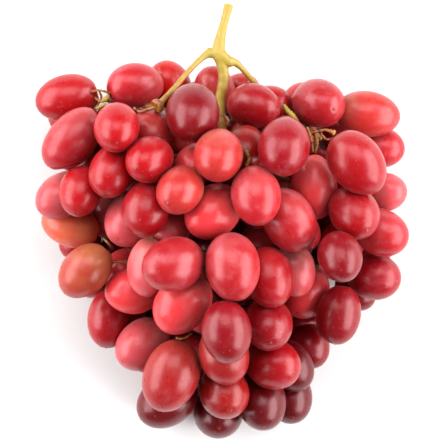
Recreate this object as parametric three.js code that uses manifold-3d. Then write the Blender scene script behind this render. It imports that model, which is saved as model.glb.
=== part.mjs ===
// A bunch of red table grapes, lying on its back on a table. Millimetres, +Z up.
// The cut stem end points to +Y, and +Z is the side that faces the viewer.

import * as THREE from 'three';
import { mergeVertices } from 'three/addons/utils/BufferGeometryUtils.js';
import Module from 'manifold-3d';

const wasm = await Module();
wasm.setup();

// Driving dimensions, mm
const BUNCH_WIDTH = 158;
const EDGE_HEIGHT = 34;
const DOME_RISE = 42;
const DEEP_DROP = 16;
const BERRY_RATIO = 1.27;
const HIDDEN_WIDTH = 17.8;
const HIDDEN_WIDTH_SPREAD = 2.4;
const HIDDEN_RATIO = 1.2;
const HIDDEN_RATIO_SPREAD = 0.14;
const TABLE_PRESS = 0.7;
const STEM_GAP = 0.35;
const STEM_CLEARANCE = 0.2;
const CORE_LOW = 12;
const CORE_HIGH = 60;
const STALK_THICK = 4;

// How far two berries' centres may close in, as a share of touching
const SEEN_PRESS = 0.95;
const HIDDEN_PRESS = 0.92;
const SINK_STEP = 0.25;

// The photograph's frame, in its pixels
const PHOTO_BUNCH_WIDTH = 376;
const PHOTO_CENTRE = [221.777, 220.767];
const MM = BUNCH_WIDTH / PHOTO_BUNCH_WIDTH;

// Edge of the berries in the photograph, px
const OUTLINE = [
  [36, 92], [62, 74], [107, 70], [135, 60], [172, 60], [215, 64], [255, 80], [318, 78],
  [368, 92], [398, 115], [405, 150], [408, 195], [410, 240], [400, 280], [375, 305],
  [360, 330], [330, 360], [312, 400], [290, 422], [262, 430], [216, 438], [165, 426],
  [138, 410], [140, 375], [113, 345], [88, 322], [60, 285], [42, 245], [34, 200], [42, 150],
];
const EDGE_INSET = 24;
const DOME_REACH = 66;

// Berries seen in the photograph, nearest first:
// centre x and y, apparent length and width, px, and the tip's direction, degrees
const SEEN_BERRIES = [
  [233, 266.5, 69, 55, 277], [256, 196, 61, 50, 283], [218.5, 156, 54, 49, 255],
  [226.5, 331, 64, 50, 278], [173, 264, 64, 54, 200], [171, 376, 74, 56, 250],
  [180, 190, 51, 46, 230], [289, 220, 68, 52, 297], [213, 212, 62, 52, 222],
  [357, 163, 70, 54, 305], [284, 147, 60, 52, 260], [135, 85, 57, 46, 182],
  [117, 128, 50, 46, 272], [149.5, 160, 50, 46, 215], [319, 103, 54, 50, 340],
  [269, 277, 62, 50, 280], [182.5, 303.5, 68, 53, 230], [146, 209, 58, 47, 258],
  [149, 267, 60, 44, 265], [193, 113, 60, 54, 270], [254, 106, 54, 45, 350],
  [354, 213, 56, 49, 305], [112, 171, 54, 45, 252], [72, 139, 74, 48, 228],
  [268, 324, 54, 49, 278], [224, 353, 64, 50, 280], [133, 291, 58, 46, 185],
  [131, 219, 60, 52, 235], [340, 257, 52, 44, 285], [368, 113.5, 66, 47, 352],
  [81, 191, 52, 43, 255], [224, 392, 56, 50, 290], [273, 364, 58, 51, 340],
  [314, 187, 66, 46, 275], [385, 192, 46, 39, 0], [60, 196, 54, 44, 215],
  [66.2, 97, 64.5, 46, 195], [381, 147, 50, 41, 350], [374.5, 277, 55, 47, 350],
  [381, 232, 59, 47, 335], [85, 271, 62, 47, 227], [339, 315, 60, 45, 262],
  [125, 269, 44, 41, 200], [142, 345, 60, 50, 220], [70, 226, 60, 42, 165],
  [108.5, 319, 60, 44, 265], [262, 403, 58, 50, 275], [167, 401, 66, 52, 215],
  [218, 412.5, 54, 50, 275], [291, 366, 56, 43, 300], [290, 398, 55, 47, 275],
];

// Berries seen only deep between the others, in the same terms
const DEEP_BERRIES = [
  [295, 270, 54, 42, 280], [306, 292, 56, 48, 250], [307, 345, 52, 43, 310],
  [356, 290, 46, 38, 315], [298, 230, 50, 42, 320], [169, 84, 50, 44, 120],
  [214, 90, 50, 42, 100], [268, 106, 50, 42, 20], [304, 104, 46, 44, 100],
  [241, 93, 44, 40, 60], [246, 148, 46, 40, 270], [106, 214, 48, 42, 260],
  [153, 130, 46, 43, 270], [181, 130, 50, 42, 250], [195, 165, 44, 40, 230],
  [172, 226, 46, 40, 230], [262, 243, 48, 42, 270], [303, 320, 42, 38, 270],
  [79, 241, 46, 38, 215],
];

// Stem runs: x and y in photograph px, height above the table and thickness in mm
const OPEN_STEM = [
  [[229, 3.5, 36, 4.3], [226.3, 14, 36.5, 3.8], [223.9, 23, 37, 3.7], [221.2, 34, 38, 4.3],
    [219, 45, 39, 5.4], [218.5, 53, 40, 5.6]],
  [[218.5, 53, 40, 5.6], [208, 53.5, 40, 3.6], [199, 60.5, 42, 2.6], [186, 74, 47, 2.4],
    [175, 87.5, 53, 2.5], [164.5, 99, 59.5, 2.6], [158.5, 105, 63, 3.8]],
  [[213, 53, 40, 3.4], [207, 48, 40, 1.8]],
  [[218.5, 53, 40, 5.6], [222.3, 66, 39.5, 4.8], [223.7, 77, 39, 4.7], [222.2, 88, 38.5, 4.6],
    [220.4, 98, 38, 4.4], [221.5, 114, 38, 4]],
  [[218.5, 53, 40, 5.6], [228.5, 61, 40, 4.8], [235, 62, 39, 3.4], [241.5, 67.5, 37.5, 2.6],
    [249, 76, 34, 2.5], [256.5, 84.5, 29, 2.4]],
];
const INNER_STEM = [
  [[221.5, 114, 38, 4], [225, 170, 38, 3.6], [222, 250, 38, 3.1], [222, 330, 36, 2.6], [222, 385, 33, 2.2]],
  [[158.5, 105, 63, 3.8], [157.5, 107, 50, 2.8], [149, 105.5, 37, 2.5], [104, 99, 30, 2.1]],
  [[256.5, 84.5, 29, 2.4], [288, 112, 30, 2.6], [322, 139, 34, 2.4]],
  [[225, 170, 38, 3.6], [165, 188, 40, 2.4], [112, 196, 40, 2]],
  [[225, 170, 38, 3.6], [280, 178, 40, 2.4], [336, 196, 40, 2]],
  [[222, 250, 38, 3.1], [160, 262, 39, 2.4], [108, 262, 37, 2]],
  [[222, 250, 38, 3.1], [282, 262, 39, 2.4], [342, 270, 37, 2]],
];
const STEM_SIDES = 6;
const STALK_SIDES = 4;

// Search for the hidden berries' places: steps and edges in px, levels in mm
const HIDDEN_SEED = 7;
const HIDDEN_GRID = 4;
const HIDDEN_FRAME = { left: 38, right: 406, top: 62, bottom: 432 };
const HIDDEN_LEVEL = 2;
const HIDDEN_TOP = 60;
const HIDDEN_INSET = 22;
const HIDDEN_BELT = 34;
const HIDDEN_BELT_SLOPE = 1.2;
const HIDDEN_COVER = 6;
const SHEER_INSET = 14;
const COVER_MARGIN = 0.5;
const RIM_POINTS = 12;
const SURFACE_RINGS = [0, 0.5, 0.9];

// Where a hidden berry shows between the seen ones, it lies this deep under the dome or this low, mm
const GAP_DEPTH = 30;
const GAP_FLOOR = 20;

// Points of the gap at the upper left where only stalks show, px
const OPEN_GAP = [[98, 88], [104, 96], [101, 103]];

// The shape of one berry and of the core that the berries stand out of
const BERRY_SIDES = 7;
const BERRY_RINGS = 5;
const FACET_SWELL = 1.05;
const CORE_SIDES = 18;
const CORE_RINGS = 6;
const CORE_INSET = 46;
const CORE_CENTRE = [222, 205];
const CORE_ROUNDNESS = 0.7;

const across = (px) => (px - PHOTO_CENTRE[0]) * MM;
const up = (py) => (PHOTO_CENTRE[1] - py) * MM;

// Distance in from the outline, px; it is negative outside
function insideBy(px, py) {
  let nearest = Infinity;
  let inside = false;
  OUTLINE.forEach(([ax, ay], i) => {
    const [bx, by] = OUTLINE[(i + 1) % OUTLINE.length];
    const [dx, dy] = [bx - ax, by - ay];
    const along = ((px - ax) * dx + (py - ay) * dy) / (dx * dx + dy * dy);
    const t = Math.max(0, Math.min(1, along));
    nearest = Math.min(nearest, Math.hypot(px - ax - t * dx, py - ay - t * dy));
    if (ay > py !== by > py && px < ax + ((py - ay) * dx) / dy) inside = !inside;
  });
  return inside ? nearest : -nearest;
}

// Height at which a front berry's centre would lie, with nothing in its way
function domeHeight(px, py) {
  const t = Math.max(0, Math.min(1, (insideBy(px, py) - EDGE_INSET) / DOME_REACH));
  return EDGE_HEIGHT + DOME_RISE * Math.sqrt(1 - (1 - t) ** 2);
}

// A berry is an ellipsoid: centre, half length, half width, and the axis to its tip
function berry(px, py, z, halfLength, halfWidth, tip) {
  return { x: across(px), y: up(py), z, halfLength, halfWidth, tip };
}

function reach(b, nx, ny, nz) {
  const k = (nx * b.tip[0] + ny * b.tip[1] + nz * b.tip[2]) ** 2;
  return 1 / Math.sqrt(k / b.halfLength ** 2 + (1 - k) / b.halfWidth ** 2);
}

// Height of a berry's front surface over a point, or no height where it isn't under the point
function front(b, x, y) {
  const [ax, ay, az] = b.tip;
  const [dx, dy] = [x - b.x, y - b.y];
  const roundTerm = 1 / b.halfWidth ** 2;
  const longTerm = 1 / b.halfLength ** 2 - roundTerm;
  const acrossTip = dx * ax + dy * ay;
  const p = roundTerm + longTerm * az * az;
  const q = 2 * longTerm * acrossTip * az;
  const r = roundTerm * (dx * dx + dy * dy) + longTerm * acrossTip * acrossTip - 1;
  const inside = q * q - 4 * p * r;
  return inside >= 0 ? b.z + (-q + Math.sqrt(inside)) / (2 * p) : -Infinity;
}

function halfHeight(b) {
  const rise = b.tip[2] ** 2;
  return Math.sqrt(b.halfLength ** 2 * rise + b.halfWidth ** 2 * (1 - rise));
}

function apart(p, q, press) {
  const [dx, dy, dz] = [q.x - p.x, q.y - p.y, q.z - p.z];
  const distance = Math.sqrt(dx * dx + dy * dy + dz * dz);
  if (distance >= (p.halfLength + q.halfLength) * press) return true;
  const [nx, ny, nz] = [dx / distance, dy / distance, dz / distance];
  return distance >= (reach(p, nx, ny, nz) + reach(q, nx, ny, nz)) * press;
}

// Points along the open stem that the berries keep clear of
const STEM_MARKS = OPEN_STEM.flatMap((run) => run.slice(1).flatMap((end, i) => (
  [0, 0.2, 0.4, 0.6, 0.8, 1].map((t) => {
    const [px, py, z, thick] = run[i].map((value, k) => value + (end[k] - value) * t);
    return { x: across(px), y: up(py), z, radius: thick / 2 };
  })
)));

function clearOfStem(b) {
  return STEM_MARKS.every((mark) => {
    const [dx, dy, dz] = [mark.x - b.x, mark.y - b.y, mark.z - b.z];
    const distance = Math.sqrt(dx * dx + dy * dy + dz * dz);
    const needed = reach(b, dx / distance, dy / distance, dz / distance) + mark.radius;
    return distance >= needed + STEM_CLEARANCE;
  });
}

// Each seen berry starts at the dome and sinks until it is clear of those before it
function placeSeen(rows, drop, placed) {
  for (const [px, py, length, width, tipAngle] of rows) {
    const [seenLength, trueWidth] = [length * MM, width * MM];
    const trueLength = Math.max(seenLength, trueWidth * BERRY_RATIO);
    const flat = Math.sqrt((seenLength ** 2 - trueWidth ** 2) / (trueLength ** 2 - trueWidth ** 2));
    const angle = (tipAngle * Math.PI) / 180;
    const lean = Math.sqrt(Math.max(0, 1 - flat * flat));
    const tip = [Math.cos(angle) * flat, Math.sin(angle) * flat, lean];
    const b = berry(px, py, domeHeight(px, py) - drop, trueLength / 2, trueWidth / 2, tip);
    const lowest = halfHeight(b) - TABLE_PRESS;
    while (b.z > lowest && !(clearOfStem(b) && placed.every((p) => apart(p, b, SEEN_PRESS)))) {
      b.z -= SINK_STEP;
    }
    placed.push(b);
  }
}

// A berry's outline from the front: half length, half width and direction
function frontOutline(b) {
  const flat = Math.hypot(b.tip[0], b.tip[1]);
  const direction = flat > 1e-6 ? [b.tip[0] / flat, b.tip[1] / flat] : [1, 0];
  const half = Math.sqrt((b.halfLength * flat) ** 2 + (b.halfWidth * b.tip[2]) ** 2);
  return { half, direction };
}

function covered(x, y, seen) {
  if (insideBy(x / MM + PHOTO_CENTRE[0], PHOTO_CENTRE[1] - y / MM) > SHEER_INSET) return true;
  return seen.some((b) => {
    const { half, direction: [ux, uy] } = frontOutline(b);
    const along = ((x - b.x) * ux + (y - b.y) * uy) / (half - COVER_MARGIN);
    const beside = ((y - b.y) * ux - (x - b.x) * uy) / (b.halfWidth - COVER_MARGIN);
    return along * along + beside * beside < 1;
  });
}

function hiddenFromFront(b, seen) {
  const { half, direction: [ux, uy] } = frontOutline(b);
  return [...Array(RIM_POINTS).keys()].every((i) => {
    const turn = (2 * Math.PI * i) / RIM_POINTS;
    const along = Math.cos(turn) * half;
    const beside = Math.sin(turn) * b.halfWidth;
    return covered(b.x + along * ux - beside * uy, b.y + along * uy + beside * ux, seen);
  });
}

// Whether a berry lies behind the seen ones, and deep wherever it shows between them
function sunken(b, seen) {
  if (OPEN_GAP.some(([px, py]) => front(b, across(px), up(py)) > 0)) return false;
  const { half, direction: [ux, uy] } = frontOutline(b);
  return SURFACE_RINGS.every((share) => [...Array(RIM_POINTS).keys()].every((i) => {
    const turn = (2 * Math.PI * i) / RIM_POINTS;
    const along = Math.cos(turn) * half * share;
    const beside = Math.sin(turn) * b.halfWidth * share;
    const [x, y] = [b.x + along * ux - beside * uy, b.y + along * uy + beside * ux];
    const over = Math.max(...seen.map((p) => front(p, x, y)));
    const dome = domeHeight(x / MM + PHOTO_CENTRE[0], PHOTO_CENTRE[1] - y / MM);
    return front(b, x, y) <= (over > 0 ? over : Math.max(dome - GAP_DEPTH, GAP_FLOOR));
  }));
}

// Berries on the back and sides: from the table up, each takes the first free place in the belt
function placeHidden(placed) {
  const seen = [...placed];
  let seed = HIDDEN_SEED;
  const draw = () => {
    seed = (seed * 1664525 + 1013904223) % 4294967296;
    return seed / 4294967296;
  };
  const drawBerry = () => {
    const width = HIDDEN_WIDTH + HIDDEN_WIDTH_SPREAD * draw();
    const length = width * (HIDDEN_RATIO + HIDDEN_RATIO_SPREAD * draw());
    const angle = 2 * Math.PI * draw();
    const rise = draw() - 0.5;
    const flat = Math.sqrt(1 - rise * rise);
    return { length, width, tip: [Math.cos(angle) * flat, Math.sin(angle) * flat, rise] };
  };
  let next = drawBerry();
  const { left, right, top, bottom } = HIDDEN_FRAME;
  for (let level = 0; level <= HIDDEN_TOP; level += HIDDEN_LEVEL) {
    for (let py = bottom; py >= top; py -= HIDDEN_GRID) {
      for (let px = left; px <= right; px += HIDDEN_GRID) {
        const inset = insideBy(px, py);
        const inBelt = level < HIDDEN_LEVEL || inset < HIDDEN_BELT + level * HIDDEN_BELT_SLOPE;
        if (inset < HIDDEN_INSET || !inBelt) continue;
        const b = berry(px, py, 0, next.length / 2, next.width / 2, next.tip);
        b.z = level + halfHeight(b) - TABLE_PRESS;
        if (b.z > domeHeight(px, py) - HIDDEN_COVER || !clearOfStem(b)) continue;
        if (!placed.every((p) => apart(p, b, HIDDEN_PRESS))) continue;
        if (hiddenFromFront(b, seen) && sunken(b, seen)) {
          placed.push(b);
          next = drawBerry();
        }
      }
    }
  }
}

// A closed three.js geometry as a solid that can be joined and cut
function solidOf(geometry) {
  const bare = geometry.clone();
  bare.deleteAttribute('normal');
  bare.deleteAttribute('uv');
  const merged = mergeVertices(bare, 1e-4);
  return new wasm.Manifold(new wasm.Mesh({
    numProp: 3,
    vertProperties: new Float32Array(merged.attributes.position.array),
    triVerts: new Uint32Array(merged.index.array),
  }));
}

function joined(solids) {
  let level = solids;
  while (level.length > 1) {
    const pairs = [];
    for (let i = 0; i < level.length; i += 2) {
      pairs.push(i + 1 < level.length ? level[i].add(level[i + 1]) : level[i]);
    }
    level = pairs;
  }
  return level[0];
}

// The largest body of a solid, without loose scraps and sealed hollows
function mainBody(solid) {
  return solid.decompose().reduce((a, b) => (b.volume() > a.volume() ? b : a));
}

const Z_AXIS = new THREE.Vector3(0, 0, 1);

function berrySolid(b) {
  const geometry = new THREE.SphereGeometry(FACET_SWELL, BERRY_SIDES, BERRY_RINGS);
  geometry.rotateX(Math.PI / 2);
  geometry.scale(b.halfWidth, b.halfWidth, b.halfLength);
  const turn = new THREE.Quaternion().setFromUnitVectors(Z_AXIS, new THREE.Vector3(...b.tip));
  geometry.applyQuaternion(turn);
  geometry.translate(b.x, b.y, b.z);
  return solidOf(geometry);
}

// The core fills the middle of the bunch: the outline drawn in, domed above and below
function coreSolid() {
  const positions = [];
  const point = (ring, side) => {
    const rise = -Math.PI / 2 + (Math.PI * ring) / CORE_RINGS;
    const turn = (2 * Math.PI * side) / CORE_SIDES;
    const [dx, dy] = [Math.cos(turn), -Math.sin(turn)];
    let far = 0;
    while (insideBy(CORE_CENTRE[0] + dx * far, CORE_CENTRE[1] + dy * far) > CORE_INSET) far += 1;
    const spread = far * Math.max(0, Math.cos(rise)) ** CORE_ROUNDNESS;
    const middle = (CORE_LOW + CORE_HIGH) / 2;
    const height = middle + ((CORE_HIGH - CORE_LOW) / 2) * Math.sin(rise);
    return [across(CORE_CENTRE[0] + dx * spread), up(CORE_CENTRE[1] + dy * spread), height];
  };
  for (let ring = 0; ring < CORE_RINGS; ring += 1) {
    for (let side = 0; side < CORE_SIDES; side += 1) {
      const [a, b] = [point(ring, side), point(ring, side + 1)];
      const [c, d] = [point(ring + 1, side), point(ring + 1, side + 1)];
      if (ring > 0) positions.push(...a, ...b, ...d);
      if (ring < CORE_RINGS - 1) positions.push(...a, ...d, ...c);
    }
  }
  const geometry = new THREE.BufferGeometry();
  geometry.setAttribute('position', new THREE.Float32BufferAttribute(positions, 3));
  return solidOf(geometry);
}

// A limb of the stem: rings of points round its run, closed at both ends
function limbSolid(run, grow) {
  const points = run.map(([px, py, z]) => new THREE.Vector3(across(px), up(py), z));
  const rings = points.map((point, i) => {
    const before = points[Math.max(0, i - 1)];
    const after = points[Math.min(points.length - 1, i + 1)];
    const along = after.clone().sub(before).normalize();
    const turn = new THREE.Quaternion().setFromUnitVectors(Z_AXIS, along);
    const end = i === 0 ? -1 : Number(i === points.length - 1);
    const centre = point.clone().addScaledVector(along, end * grow);
    return [...Array(STEM_SIDES).keys()].map((side) => {
      const angle = (2 * Math.PI * side) / STEM_SIDES;
      const radius = run[i][3] / 2 + grow;
      const spoke = new THREE.Vector3(Math.cos(angle) * radius, Math.sin(angle) * radius, 0);
      return spoke.applyQuaternion(turn).add(centre).toArray();
    });
  });
  const positions = [];
  for (let i = 1; i < rings.length; i += 1) {
    rings[i].forEach((corner, side) => {
      const next = (side + 1) % STEM_SIDES;
      const [low, lowNext] = [rings[i - 1][side], rings[i - 1][next]];
      positions.push(...low, ...lowNext, ...rings[i][next]);
      positions.push(...low, ...rings[i][next], ...corner);
    });
  }
  const last = rings[rings.length - 1];
  for (let side = 2; side < STEM_SIDES; side += 1) {
    positions.push(...rings[0][0], ...rings[0][side], ...rings[0][side - 1]);
    positions.push(...last[0], ...last[side - 1], ...last[side]);
  }
  const geometry = new THREE.BufferGeometry();
  geometry.setAttribute('position', new THREE.Float32BufferAttribute(positions, 3));
  return solidOf(geometry);
}

function stemSolid(grow) {
  return joined([...OPEN_STEM, ...INNER_STEM].map((run) => limbSolid(run, grow)));
}

function meshOf(solid, name, material) {
  const { vertProperties, triVerts } = solid.getMesh();
  const geometry = new THREE.BufferGeometry();
  geometry.setAttribute('position', new THREE.BufferAttribute(vertProperties, 3));
  geometry.setIndex(new THREE.BufferAttribute(triVerts, 1));
  geometry.computeVertexNormals();
  const mesh = new THREE.Mesh(geometry, material);
  mesh.name = name;
  return mesh;
}

// A berry that touches nothing is tied to its nearest neighbour by a short stalk
function stalkSolid(from, to) {
  const start = new THREE.Vector3(from.x, from.y, from.z);
  const end = new THREE.Vector3(to.x, to.y, to.z);
  const along = end.clone().sub(start);
  const radius = STALK_THICK / 2;
  const geometry = new THREE.CylinderGeometry(radius, radius, along.length(), STALK_SIDES);
  geometry.rotateX(Math.PI / 2);
  geometry.applyQuaternion(new THREE.Quaternion().setFromUnitVectors(Z_AXIS, along.normalize()));
  geometry.translate(...start.add(end).multiplyScalar(0.5).toArray());
  return solidOf(geometry);
}

function tiedIn(solid, placed) {
  const main = mainBody(solid);
  const held = (body, b) => {
    const { min, max } = body.boundingBox();
    return [b.x, b.y, b.z].every((value, i) => value > min[i] && value < max[i]);
  };
  const loose = solid.decompose().filter((body) => body.volume() > 0 && body.volume() < main.volume());
  const stalks = loose.map((body) => {
    const own = placed.find((b) => held(body, b));
    const distance = (b) => Math.hypot(b.x - own.x, b.y - own.y, b.z - own.z);
    const others = placed.filter((b) => !held(body, b));
    return stalkSolid(own, others.reduce((a, b) => (distance(b) < distance(a) ? b : a)));
  });
  return joined([solid, ...stalks]);
}

const berries = [];
placeSeen(SEEN_BERRIES, 0, berries);
placeSeen(DEEP_BERRIES, DEEP_DROP, berries);
placeHidden(berries);

const belowTable = new THREE.BoxGeometry(3 * BUNCH_WIDTH, 3 * BUNCH_WIDTH, BUNCH_WIDTH);
belowTable.translate(0, 0, -BUNCH_WIDTH / 2);

const bunch = tiedIn(joined([coreSolid(), ...berries.map(berrySolid)]), berries)
  .subtract(solidOf(belowTable))
  .subtract(stemSolid(STEM_GAP));

const group = new THREE.Group();
group.add(meshOf(mainBody(bunch), 'berries', new THREE.MeshStandardMaterial({
  color: 0xb3202c,
  roughness: 0.35,
  metalness: 0,
})));
group.add(meshOf(mainBody(stemSolid(0)), 'stem', new THREE.MeshStandardMaterial({
  color: 0xc9bd48,
  roughness: 0.6,
  metalness: 0,
})));

export default group;
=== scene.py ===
"""A bunch of red table grapes on its back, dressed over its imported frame.

Places are worked out in millimetres from the photograph's pixels, as in the part's source,
and the meshes are written in metres.
"""

import math

import bpy
import numpy as np
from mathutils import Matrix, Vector


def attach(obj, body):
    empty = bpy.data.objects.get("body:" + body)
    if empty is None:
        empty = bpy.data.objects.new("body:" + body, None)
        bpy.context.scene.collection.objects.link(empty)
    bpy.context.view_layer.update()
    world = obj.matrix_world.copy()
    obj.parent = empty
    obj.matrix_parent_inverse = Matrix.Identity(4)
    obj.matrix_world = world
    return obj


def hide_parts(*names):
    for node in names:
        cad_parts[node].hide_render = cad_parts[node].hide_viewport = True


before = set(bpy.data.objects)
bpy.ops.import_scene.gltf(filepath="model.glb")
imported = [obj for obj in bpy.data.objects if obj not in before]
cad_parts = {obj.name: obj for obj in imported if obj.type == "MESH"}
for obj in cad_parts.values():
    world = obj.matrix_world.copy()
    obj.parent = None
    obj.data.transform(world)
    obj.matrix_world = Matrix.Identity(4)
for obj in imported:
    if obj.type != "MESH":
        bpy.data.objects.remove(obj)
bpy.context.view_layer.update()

METRES = 0.001

# Driving dimensions, mm
BUNCH_WIDTH = 158
EDGE_HEIGHT = 34
DOME_RISE = 42
DEEP_DROP = 16
BERRY_RATIO = 1.27
HIDDEN_WIDTH = 17.8
HIDDEN_WIDTH_SPREAD = 2.4
SMALL_WIDTH = 11.5
HIDDEN_RATIO = 1.2
HIDDEN_RATIO_SPREAD = 0.14
TABLE_PRESS = 0.7
STEM_CLEARANCE = 0.2

# How far two berries' centres may close in, as a share of touching
SEEN_PRESS = 0.95
HIDDEN_PRESS = 0.92
INNER_PRESS = 0.97
SMALL_PRESS = 0.94
SINK_STEP = 0.25

# Shares of a stem run's step at which a berry has to be clear of it
MARK_SHARES = (0, 0.2, 0.4, 0.6, 0.8, 1)

# The photograph's frame, in its pixels
PHOTO_SIZE = 447
PHOTO_BUNCH_WIDTH = 376
PHOTO_CENTRE = (221.777, 220.767)
MM = BUNCH_WIDTH / PHOTO_BUNCH_WIDTH

# Edge of the berries in the photograph, px
OUTLINE = (
    (36, 92), (62, 74), (107, 70), (135, 60), (172, 60), (215, 64), (255, 80), (318, 78),
    (368, 92), (398, 115), (405, 150), (408, 195), (410, 240), (400, 280), (375, 305),
    (360, 330), (330, 360), (312, 400), (290, 422), (262, 430), (216, 438), (165, 426),
    (138, 410), (140, 375), (113, 345), (88, 322), (60, 285), (42, 245), (34, 200), (42, 150),
)
EDGE_INSET = 24
DOME_REACH = 66

# Berries seen in the photograph, nearest first: centre x and y, apparent length and width, px,
# the tip's direction, degrees, and the name of the skin's colour
SEEN_BERRIES = (
    (233, 266.5, 69, 55, 277, "rose"), (256, 196, 61, 50, 283, "rose"),
    (218.5, 156, 54, 49, 255, "salmon"), (226.5, 331, 64, 50, 278, "wine"),
    (173, 264, 64, 54, 200, "rose"), (171, 376, 74, 56, 250, "peach"),
    (180, 190, 51, 46, 230, "salmon"), (289, 220, 68, 52, 297, "rose"),
    (213, 212, 62, 52, 222, "light"), (357, 163, 70, 54, 305, "crimson"),
    (284, 147, 60, 52, 260, "dusty"), (135, 85, 57, 46, 182, "rose"),
    (117, 128, 50, 46, 272, "bright"), (149.5, 160, 50, 46, 215, "bright"),
    (319, 103, 54, 50, 340, "rose"), (269, 277, 62, 50, 280, "crimson"),
    (182.5, 303.5, 68, 53, 230, "light"), (146, 209, 58, 47, 258, "crimson"),
    (149, 267, 60, 44, 265, "pale"), (193, 113, 60, 54, 270, "wine"),
    (254, 106, 54, 45, 350, "crimson"), (354, 213, 56, 49, 305, "crimson"),
    (112, 171, 54, 45, 252, "bright"), (72, 139, 74, 48, 228, "rose"),
    (268, 324, 54, 49, 278, "dusty"), (224, 353, 64, 50, 280, "peach"),
    (133, 291, 58, 46, 185, "light"), (131, 219, 60, 52, 235, "pale"),
    (340, 257, 52, 44, 285, "wine"), (368, 113.5, 66, 47, 352, "salmon"),
    (81, 191, 52, 43, 255, "bright"), (224, 392, 56, 50, 290, "rust"),
    (273, 364, 58, 51, 340, "crimson"), (314, 187, 66, 46, 275, "light"),
    (385, 192, 46, 39, 0, "pale"), (60, 196, 54, 44, 215, "pale"),
    (66.2, 97, 64.5, 46, 195, "bright"), (381, 147, 50, 41, 350, "rose"),
    (374.5, 277, 55, 47, 350, "dusty"), (381, 232, 59, 47, 335, "rose"),
    (85, 271, 62, 47, 227, "gold"), (339, 315, 60, 45, 262, "wine"),
    (125, 269, 44, 41, 200, "light"), (142, 345, 60, 50, 220, "pale"),
    (70, 226, 60, 42, 165, "amber"), (108.5, 319, 60, 44, 265, "crimson"),
    # The plum skin of the five berries along the lower edge is a darker red that paints the shade
    # there.
    (262, 403, 58, 50, 275, "plum_painted_shade"), (167, 401, 66, 52, 215, "plum_painted_shade"),
    (218, 412.5, 54, 50, 275, "plum_painted_shade"), (291, 366, 56, 43, 300, "plum_painted_shade"),
    (290, 398, 55, 47, 275, "plum_painted_shade"),
)

# Berries seen only deep between the others, in the same terms
DEEP_BERRIES = (
    (295, 270, 54, 42, 280, "pale"), (306, 292, 56, 48, 250, "light"),
    (307, 345, 52, 43, 310, "wine"), (356, 290, 46, 38, 315, "wine"),
    (298, 230, 50, 42, 320, "light"), (169, 84, 50, 44, 120, "orange"),
    (214, 90, 50, 42, 100, "salmon"), (268, 106, 50, 42, 20, "bright"),
    (304, 104, 46, 44, 100, "orange"), (241, 93, 44, 40, 60, "salmon"),
    (246, 148, 46, 40, 270, "rust"), (106, 214, 48, 42, 260, "pale"),
    (153, 130, 46, 43, 270, "salmon"), (181, 130, 50, 42, 250, "light"),
    (195, 165, 44, 40, 230, "light"), (172, 226, 46, 40, 230, "pale"),
    (262, 243, 48, 42, 270, "light"), (303, 320, 42, 38, 270, "dusty"),
    (79, 241, 46, 38, 215, "rose"),
)

# Stem runs: x and y in photograph px, height above the table and thickness in mm
OPEN_STEM = (
    ((229, 3.5, 36, 4.3), (226.3, 14, 36.5, 3.8), (223.9, 23, 37, 3.7), (221.2, 34, 38, 4.3),
     (219, 45, 39, 5.4), (218.5, 53, 40, 5.6)),
    ((218.5, 53, 40, 5.6), (208, 53.5, 40, 3.6), (199, 60.5, 42, 2.6), (186, 74, 47, 2.4),
     (175, 87.5, 53, 2.5), (164.5, 99, 59.5, 2.6), (158.5, 105, 63, 3.8)),
    ((213, 53, 40, 3.4), (207, 48, 40, 1.8)),
    ((218.5, 53, 40, 5.6), (222.3, 66, 39.5, 4.8), (223.7, 77, 39, 4.7), (222.2, 88, 38.5, 4.6),
     (220.4, 98, 38, 4.4), (221.5, 114, 38, 4)),
    ((218.5, 53, 40, 5.6), (228.5, 61, 40, 4.8), (235, 62, 39, 3.4), (241.5, 67.5, 37.5, 2.6),
     (249, 76, 34, 2.5), (256.5, 84.5, 29, 2.4)),
)
INNER_STEM = (
    ((221.5, 114, 38, 4), (225, 170, 38, 3.6), (222, 250, 38, 3.1), (222, 330, 36, 2.6),
     (222, 385, 33, 2.2)),
    ((158.5, 105, 63, 3.8), (157.5, 107, 50, 2.8), (149, 105.5, 37, 2.5), (104, 99, 30, 2.1)),
    ((256.5, 84.5, 29, 2.4), (288, 112, 30, 2.6), (322, 139, 34, 2.4)),
    ((225, 170, 38, 3.6), (165, 188, 40, 2.4), (112, 196, 40, 2)),
    ((225, 170, 38, 3.6), (280, 178, 40, 2.4), (336, 196, 40, 2)),
    ((222, 250, 38, 3.1), (160, 262, 39, 2.4), (108, 262, 37, 2)),
    ((222, 250, 38, 3.1), (282, 262, 39, 2.4), (342, 270, 37, 2)),
)

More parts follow.
